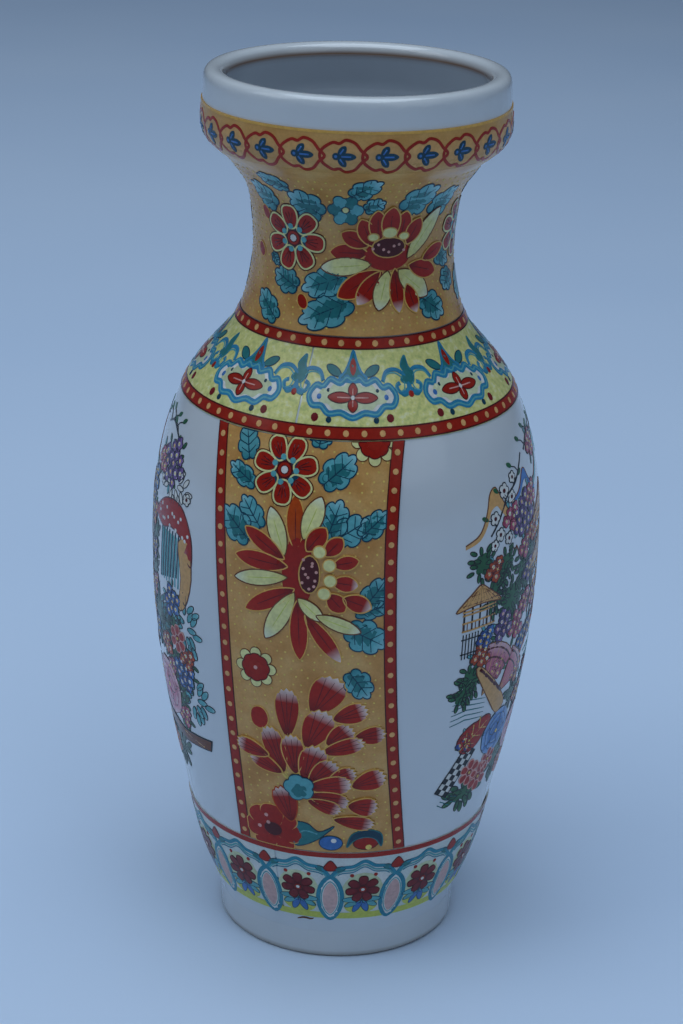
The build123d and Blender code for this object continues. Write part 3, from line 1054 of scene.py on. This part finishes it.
def draw_foot():
    """Pointed lens panels joined by arches, with a small flower under each arch."""
    p = Print("foot", "foot_enamel")
    ring(p, "border", 38.1, 39.8)
    ring(p, "lime", 14.4, 16.8, 0)
    pitch = FULL_U / FOOT_COUNT
    p.line("brown", smooth([(-4.5, 12.6), (-1.5, 13.4), (1.5, 13.2), (3, 13.7)], closed=False), 0.7, -8,
           taper=True)
    for u in around(FOOT_COUNT, 10):
        lens = [(x, y - 8.4) for x, y in petal(16.8, 6.8, 1.25)]
        p.fill("white", place(lens, u, LENS_Z), 1)
        p.edge("sea", place(lens, u, LENS_Z), 1.25, 2)
        p.edge("mist", place([(x * 0.74, y * 0.8) for x, y in lens], u, LENS_Z), 0.35, 3)
        p.fill("blossom", place([(x * 0.62, y * 0.74) for x, y in lens], u, LENS_Z), 3)
        arch = smooth([(u + share * pitch, z) for share, z in ARCH], closed=False)
        p.line("sea", arch, 1.1, 2)
        p.line("mist", [(a, z - 1.3) for a, z in arch[3:-3]], 0.5, 2)
        p.line("sea", [(a, z - 2.1) for a, z in arch[5:-5]], 0.28, 2)
        lotus = [(-1.9, 0), (-1.2, 1.8), (0, 3), (1.2, 1.8), (1.9, 0), (0, -0.8)]
        p.outlined("border", "maroon", place(smooth(lotus, steps=4), u, 34), 0.25, 2)
        for side in (-1, 1):
            sprig = place(petal(3.2, 1.7, 1.1), u + side * 1.6, 33.4, -side * 68)
            p.outlined("teal", "deep", sprig, 0.25, 2)
        middle = u + pitch / 2
        p.fill("pale", place(oval(12, 15), middle, 25), 0)
        p.fill("lime", place(oval(9.6, 6.4), middle, 19.6), 1)
        blossom(p, middle, 26.4, 4.9, 7, "wine", "maroon", "maroon", "white", layer=5)
        for turn in (-158, 158, -122, 122, -92, 92):
            sprig = place(petal(5.6, 2, 1.2), middle, 22.4, turn)
            p.outlined("blue" if abs(turn) > 130 else "mist", "deep", sprig, 0.26, 3)
        for side in (-1, 1):
            p.dot("border", middle + side * 4.4, 31.6, 1.2, 2)
    p.build()


# ---------------------------------------------------------------- garden scenes
def bush(p, x, z, wide, high, count, size=2.7, colour="green"):
    """A cluster of small outlined leaves, dark in its middle."""
    if colour in ("green", "teal"):
        p.fill("green", place(lobed(wide * 0.4, 7, 0.3, squash=high / wide, phase=0.4), x, z), 0)
    for k in range(count):
        a = SPIRAL * k
        share = sqrt((k + 0.5) / count)
        spot = (x + wide / 2 * share * cos(a), z + high / 2 * share * sin(a))
        turn = degrees(a) - 90 + 30 * sin(k)
        shape = place(petal(size, size * 0.46, 1.1, steps=12), *spot, turn)
        p.fill(colour, shape, 1 + 0.2 * (k % 4), spot, shape[len(shape) // 2])
        p.edge("black", shape, VEIN, 1.8 + 0.2 * (k % 4))


def branch(p, points, twigs, colour="black", width=0.5):
    """A crooked branch with short leafy twigs."""
    run = smooth(points, closed=False)
    p.line(colour, run, width)
    for k in range(twigs):
        x, z = run[(k + 1) * len(run) // (twigs + 1)]
        side = 1 if k % 2 else -1
        twig = place([(0, 0), (side * 1.6, 1.6), (side * 3.4, 2.2)], x, z)
        p.line(colour, twig, 0.28)
        p.fill("green", place(petal(2.6, 1.3, 1.1), *twig[2], -side * 60), 2)


def tiny_bloom(p, x, z, size):
    """A tiny white flower drawn as a black ring of petals."""
    outline = place(lobed(size, 5, 0.3), x, z)
    p.fill("white", outline, 2)
    p.edge("black", outline, 0.3, 2.5)
    p.dot("maroon", x, z, size * 0.6, 4)


def aster(p, x, z, size):
    """A red garden flower with a yellow eye."""
    blossom(p, x, z, size, 6, "red", "pink", "maroon", "yellow", layer=4)


def lily(p, x, z):
    """A rose-coloured flower on a leaf in the water."""
    draw_leaf(p, (x - 4, z - 1), (x + 3, z), 3.2, "mist")
    blossom(p, x, z + 1.2, 2.6, 6, "rose", "maroon", "yellow", "yellow")


def red_leaf(p, x, z, turn, length):
    """A large red leaf with yellow veins."""
    p.outlined("red", "maroon", place(leaf(length, 9.5, 3, 1), x, z, turn), layer=2)
    p.line("yellow", place([(0.1, 1), (0.5, 7), (0.9, 13)], x, z, turn), 0.4, 3)
    for t in (0.25, 0.45, 0.65):
        for side in (-1, 1):
            p.line("yellow", place([(0, length * t), (side * 3, length * t + 2.2)], x, z, turn), 0.3, 3)


def hill(p, points, colour):
    """A coloured peak under a brown line."""
    ridge = smooth(points, closed=False)
    low = [(x, z - 1.1 - 0.3 * max(z - points[0][1], 0)) for x, z in reversed(ridge)]
    p.fill(colour, ridge + low)
    p.line("brown", ridge, 0.3)


def ripple(p, points, width=0.28):
    """A tapering line of water."""
    p.line("teal", points, width, 1, taper=True)


def pavilion(p, x, z, wide, high):
    """A small open pavilion with an upturned louvred roof."""
    roof = [(-0.56, 0), (-0.5, 0.12), (-0.18, 0.42), (0, 0.56), (0.18, 0.42), (0.5, 0.12), (0.56, 0),
            (0.3, 0.06), (0, 0.09), (-0.3, 0.06)]
    top = place(smooth([(a * wide, b * high) for a, b in roof], steps=3), x, z)
    p.fill("tan", top, 2)
    p.edge("brown", top, OUTLINE, 3)

    def bars(colour, width, layer, ends):
        """Straight lines; their ends are parts of the pavilion's width and height."""
        for a, b, c, d in ends:
            p.line(colour, place([(a * wide, b * high), (c * wide, d * high)], x, z), width, layer)

    bars("brown", VEIN, 3, [(0.03 * k, 0.5 - 0.02 * abs(k), 0.105 * k, 0.1) for k in range(-4, 5)])
    bars("black", 0.6, 1, [(0.19 * k, 0.08, 0.19 * k, -0.5) for k in range(-2, 3)])
    bars("tan", 0.5, 2, [(-0.42, level, 0.42, level) for level in (-0.5, -0.3, -0.1, -0.02)])
    bars("brown", VEIN, 3, [(level - 0.58, level, 0.58 - level, level) for level in (0.14, 0.24, 0.34)])
    bars("brown", 0.22, 2, [(0.1 * k - 0.4, -0.5, 0.1 * k - 0.4, -0.3) for k in range(9)])


def bridge(p):
    """A red humped bridge with a handrail."""
    deck = smooth([(31, 92), (38, 97), (48, 99.5), (58, 97), (66, 92)], closed=False)
    p.line("orange", deck, 1.3)
    p.line("maroon", [(x, z + 4.2) for x, z in deck], 0.6)
    for x, z in deck[::3]:
        p.line("maroon", [(x, z), (x, z + 4.2)], 0.4)


def canopy(p):
    """A red canopy with white dots and a hanging fringe."""
    edge = [(68, 131), (73, 136), (80, 138), (86, 136.5), (90.5, 130), (91, 122), (88.5, 123.5), (86, 128.5),
            (80, 130), (74, 128.5)]
    p.outlined("red", "maroon", smooth(edge, steps=4), 0.4, 2)
    for k in range(15):
        x = 71.5 + 1.25 * k
        p.dot("white", x, 132.3 + 2.4 * sin(1.9 * k) - (0.35 * max(x - 84, 0) ** 1.6), 1.1, 3)
    for k in range(7):
        x = 72.5 + 1.8 * k
        p.line("deep", [(x, 113 + 0.5 * k), (x + 0.6, 121), (x + 1.2, 129)], 0.5, 1)
        p.line("mist", [(x + 0.9, 113), (x + 1.4, 121), (x + 1.9, 128)], 0.6, 1)


def checker(p, start, end, wide, squares, across):
    """A black and white checked strip, a number of squares long and across."""
    length, turn = reach(start, end)
    board = place([(-wide / 2, 0), (wide / 2, 0), (wide / 2, length), (-wide / 2, length)], *start, turn)
    p.fill("white", board)
    cell_x, cell_y = wide / across, length / squares
    for j in range(squares):
        for i in range(across):
            if (i + j) % 2 == 0:
                a, b = (i - across / 2) * cell_x, j * cell_y
                cell = [(a, b), (a + cell_x, b), (a + cell_x, b + cell_y), (a, b + cell_y)]
                p.fill("black", place(cell, *start, turn), 3, crown=0)
    p.edge("black", board, 0.3, 4)


def folding_fan(p, x, z, turn, size):
    """A folding fan, half open, with ribs and a dark edge."""
    rim = [(size * sin(a), size * cos(a)) for a in (-0.5, -0.3, -0.1, 0.1, 0.3, 0.5)]
    outline = place([(0, 0)] + rim, x, z, turn)
    p.fill("rose", outline, 2, (x, z), outline[3])
    p.edge("brown", outline, OUTLINE, 3)
    for share in (0.72, 0.9):
        p.line("maroon", place([(a * share, b * share) for a, b in rim], x, z, turn), 0.7, 3)
    for rib in rim[1:-1]:
        p.line("tan", place([(0, 0), rib], x, z, turn), VEIN, 3)


def each(p, draw, rows):
    """Draws the same thing once for every row of values."""
    for row in rows:
        draw(p, *row)


# What is drawn, in order; x runs from the scene's left edge.
GARDEN = [
    # The left end: hills, a pavilion and a heap of flowers.
    (hill, [(0.5, 133.5), (5.5, 135.5), (8.5, 140), (10.5, 145.5), (13, 147), (14.5, 145), (17.5, 140.5),
            (20.5, 137)], "tan"),
    (hill, [(20, 141), (25, 143), (29.5, 148), (33, 144), (38, 140.5)], "blue"),
    (branch, [(10, 134), (14, 138), (18, 143), (24, 146), (30, 152)], 5),
    (each, tiny_bloom, [(12, 138.5, 2), (17, 145, 2.2), (20.5, 142.5, 2), (14, 133.5, 2), (18, 131.5, 1.9),
                        (11.5, 131, 1.7), (22, 147.5, 1.7)]),
    (spray, 27, 135.5, 6, "violet", 14),
    (spray, 20, 137, 3.4, "rose", 5, "cream"),
    (each, bush, [(7, 127, 9, 8, 16), (17, 124.5, 9, 7, 14)]),
    (spray, 12, 124, 3, "orange", 5),
    (pavilion, 6.5, 114.5, 15, 12),
    (each, bush, [(12, 117, 7, 12, 18), (21, 113, 15, 11, 30)]),
    (each, Print.line, [("black", [(0.8 + 1.1 * k, 100), (0.8 + 1.1 * k, 107.5)], 0.3) for k in range(6)]),
    (each, Print.line, [("black", [(0.2, z), (7, z)], 0.3) for z in (101.5, 106)]),
    (each, spray, [(9.8, 104.5, 2.6, "blue", 5), (17.5, 106, 4, "violet", 8, "pink"), (25, 103, 4, "rose", 7),
                   (8.5, 99.3, 3.2, "orange", 7)]),
    (each, folding_fan, [(11, 86, -28, 16), (19, 84, -52, 14)]),
    (Print.outlined, "tan", "brown",
     smooth([(7.5, 93.5), (10, 95), (23.5, 81), (22, 77.5), (18, 79)], steps=3), OUTLINE, 4),
    (Print.line, "maroon", [(8.5, 95), (14, 90), (20.5, 84.5)], 1, 5),
    (each, bush, [(5, 92, 8, 11, 22), (2.5, 88, 7, 6, 12)]),
    (each, ripple, [([(-0.5, 79 + 1.7 * k), (5, 79.8 + 1.6 * k), (13, 78.6 + 1.5 * k)],) for k in range(5)]),
    (red_leaf, 4, 69, -52, 15),
    (rose, 23.5, 70, 7.6, "blue", "deep"),
    (checker, (0.8, 55.5), (10, 69), 5, 9, 3),
    (each, aster, [(12.5, 60, 4.2), (18.5, 56.5, 4.6), (22.5, 61, 3.6)]),
    (each, bush, [(12.5, 53, 14, 6, 18, 4), (29, 60, 8, 12, 16, 4)]),
    (branch, [(22, 128), (26, 124), (28, 131), (32, 137)], 4, "brown", 0.6),
    (each, spray, [(x, z, 3, colour, 5) for x, z, colour in (
        (28, 126, "rose"), (31, 118, "violet"), (30, 109, "rose"), (31, 97, "blue"), (30, 87, "orange"),
        (17, 93, "rose"), (8, 72, "blue"))]),
    (each, bush, [(x, z, 6, 7, 11) for x, z in ((27, 91), (29, 80), (15, 121), (26, 120))]),
    (each, Print.line, [("teal", [(0.5 + 0.9 * k, 52 + 1.1 * (k % 3)), (3 + 1.1 * k, 50.6 + 1.2 * (k % 3))],
                         0.28, 1) for k in range(7)]),
    # The middle: a tall pavilion, a bridge and water.
    (hill, [(36, 141), (42, 146), (46, 152), (49, 154), (53, 149), (58, 144), (62, 142)], "mist"),
    (branch, [(33, 152), (40, 155), (48, 153.5), (56, 155.5)], 7),
    (spray, 40, 152, 3.5, "rose", 6),
    (each, pavilion, [(47, 131, 22, 15), (47, 117, 29, 18)]),
    (each, bush, [(34, 121, 9, 16, 26), (61, 124, 8, 18, 26)]),
    (each, spray, [(34, 129, 3.2, "orange", 6), (61, 132, 3.2, "violet", 6)]),
    (bridge,),
    (each, ripple, [([(35 + 1.5 * (k % 3), 91 - 2.4 * k), (46, 91 - 2.4 * k + 0.8),
                      (60 - 2 * (k % 2), 91 - 2.4 * k - 0.3)], 0.3) for k in range(6)]),
    (each, lily, [(40, 84), (50, 80.5), (57, 86)]),
    (rose, 39, 66, 7.5),
    (rose, 54, 69, 6.5, "violet", "deep"),
    (bush, 46.5, 62, 15, 14, 34, 4.2),
    (each, aster, [(46, 57, 4.4), (36, 55, 3.8), (56, 57.5, 4)]),
    (spray, 47, 72, 3.4, "blue", 7),
    (each, spray, [(x, z, 3.2, colour, 6) for x, z, colour in (
        (38, 108, "rose"), (57, 107, "blue"), (36, 99, "violet"), (60, 101, "orange"), (36, 78, "orange"),
        (62, 79, "blue"), (61, 64, "orange"), (33, 140, "rose"), (62, 139, "blue"))]),
    (branch, [(33, 104), (36, 112), (34, 120), (38, 127), (36, 136)], 6, "brown", 0.9),
    (branch, [(62, 104), (59, 113), (63, 122), (60, 133)], 6, "brown", 0.9),
    # The right end: a canopy, hanging leaves and roses.
    (branch, [(62, 155), (68, 156.5), (76, 153.5)], 5),
    (each, spray, [(75, 147, 6.5, "violet", 14), (67, 146, 3.5, "rose", 6)]),
    (bush, 80, 142, 13, 6, 16, 3.4, "white"),
    (each, tiny_bloom, [(87, 140, 1.8), (71, 141, 1.8)]),
    (canopy,),
    (Print.outlined, "tan", "brown",
     smooth([(84.5, 127), (89.5, 128.5), (91, 118), (88, 109), (84.5, 107.5), (86, 117)], steps=3),
     OUTLINE, 2),
    (spray, 80, 108, 4.2, "blue", 9),
    (each, bush, [(88, 102.5, 8, 14, 20, 4, "mist"), (70, 100, 13, 15, 30, 3.8, "teal")]),
    (aster, 83, 97.5, 4.2),
    (each, spray, [(74.5, 93.5, 3, "orange", 6), (85, 87.5, 4.6, "blue", 11, "white")]),
    (bush, 90, 81, 9, 9, 16, 4.2, "mist"),
    (rose, 71.5, 78.5, 9),
    (bush, 81, 76, 6, 10, 12, 4),
    (Print.outlined, "brown", "black", [(63, 66.5), (80, 63.8), (94, 65.5), (95, 69), (80, 67.4), (63, 70)],
     0.4, 4),
    (each, Print.line, [("tan", [(65 + 7 * k, 67.7 - 0.5 * k), (70 + 7 * k, 67 - 0.4 * k)], 0.3, 5)
                        for k in range(4)]),
    (bush, 70, 60, 16, 9, 24, 4),
    (aster, 66, 58.5, 4),
    (each, spray, [(x, z, 3, colour, 5) for x, z, colour in (
        (66, 108, "rose"), (66, 119, "violet"), (65, 129, "orange"), (88, 92.5, "orange"), (66, 95, "blue"),
        (77, 86, "rose"), (82, 72.5, "rose"))]),
    (each, bush, [(x, z, 6, 7, 11) for x, z in ((67, 124), (66, 113), (81, 101), (76, 99), (79, 90))]),
]
GARDEN_EDGES = (("right", 46.5), ("left", -126.2))      # u of each scene's left edge


def draw_gardens():
    """The same garden on both sides; each stands for its flat CAD sheet."""
    for side, start in GARDEN_EDGES:
        p = Print("garden_" + side, "scene_enamel", 0)
        p.shift = start
        for draw, *values in GARDEN:
            draw(p, *values)
        for piece in p.build():
            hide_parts("garden_scene_" + side)


# ---------------------------------------------------------------- floor, lights and camera
FLOOR_HALF = 6        # m, half of the floor's side


def make_floor():
    """A wide pale floor."""
    mesh = bpy.data.meshes.new("floor")
    corners = [(-FLOOR_HALF, -FLOOR_HALF, 0), (FLOOR_HALF, -FLOOR_HALF, 0), (FLOOR_HALF, FLOOR_HALF, 0),
               (-FLOOR_HALF, FLOOR_HALF, 0)]
    mesh.from_pydata(corners, [], [(0, 1, 2, 3)])
    floor = put("floor", mesh)
    material, tree, skin, where = shader("floor_cloth", 0.85, 0)
    shade = ramp(tree, noise(tree, where, 3, 2), [(0.3, (0.62, 0.77, 0.98)), (0.7, (0.67, 0.81, 1))])
    plug(tree, skin.inputs["Base Color"], shade)
    mesh.materials.append(material)


def soft_light(name, where, size, power, colour):
    """A square area light aimed at the middle of the vase."""
    lamp = bpy.data.lights.new(name, "AREA")
    lamp.size = size
    lamp.energy = power
    lamp.color = colour
    item = put(name, lamp)
    item.location = where
    aim = Vector((0, 0, TOP * MM * 0.6)) - Vector(where)
    item.rotation_euler = aim.to_track_quat("-Z", "Y").to_euler()


def make_lights():
    """Open shade: a broad cool sky and one brighter side."""
    world = bpy.data.worlds.new("sky")
    world.use_nodes = True
    sky = world.node_tree.nodes["Background"]
    sky.inputs["Color"].default_value = (0.58, 0.75, 1, 1)
    sky.inputs["Strength"].default_value = 0.11
    bpy.context.scene.world = world
    soft_light("key", (-1.3, -0.7, 1.5), 1.1, 3.6, (0.86, 0.93, 1))
    soft_light("fill", (1.5, -0.9, 1.1), 1.3, 1.8, (0.8, 0.89, 1))
    soft_light("top", (0, -0.2, 1.9), 1.8, 24, (0.72, 0.85, 1))


def make_camera():
    """The camera, by its distance, height and aim; it looks down and leans a little."""
    away, height = 0.6387, 0.3741
    azimuth, pitch, yaw, roll = (radians(a) for a in (12.75, 21.28, -0.12, 1.49))
    ahead = Vector((sin(yaw) * cos(pitch), cos(yaw) * cos(pitch), -sin(pitch)))
    right = Vector((cos(yaw), -sin(yaw), 0))
    up = right.cross(ahead)
    leaning_right = right * cos(roll) + up * sin(roll)
    leaning_up = up * cos(roll) - right * sin(roll)
    turn = Matrix((leaning_right, leaning_up, -ahead)).transposed().to_4x4()
    lens = bpy.data.cameras.new("camera")
    lens.sensor_width = 36
    lens.lens = 84.4
    item = put("camera", lens)
    spin = Matrix.Rotation(azimuth, 4, "Z")
    item.matrix_world = spin @ Matrix.Translation((0, -away, height)) @ turn
    bpy.context.scene.camera = item


def paint_nodes():
    """Materials of the CAD nodes that stay: the body and the printed grounds."""
    rim = ground("rim", [(0.56, 0.28, 0.075), (0.66, 0.37, 0.12)])
    limes = [(0.54, 0.58, 0.2), (0.7, 0.69, 0.24), (0.78, 0.75, 0.28), (0.84, 0.82, 0.46)]
    lime = ground("lime", limes, 620)
    pale = ground("pale", [(0.56, 0.66, 0.62), (0.72, 0.72, 0.68)])
    gold = INKS["ground"]
    paint("porcelain_body", porcelain())
    for sheet, material in (("rim_band", rim), ("neck_sheet", gold), ("flower_strip", gold)):
        for half in ("_front", "_back"):
            paint(sheet + half, material)
    for sheet, material in (("shoulder_band", lime), ("foot_border", pale)):
        for half in ("_right", "_left"):
            paint(sheet + half, material)


paint_nodes()
draw_rim()
draw_neck()
draw_shoulder()
draw_strips()
draw_foot()
draw_gardens()
make_floor()
make_lights()
make_camera()
bpy.context.scene.view_settings.view_transform = "Standard"
bpy.context.view_layer.update()
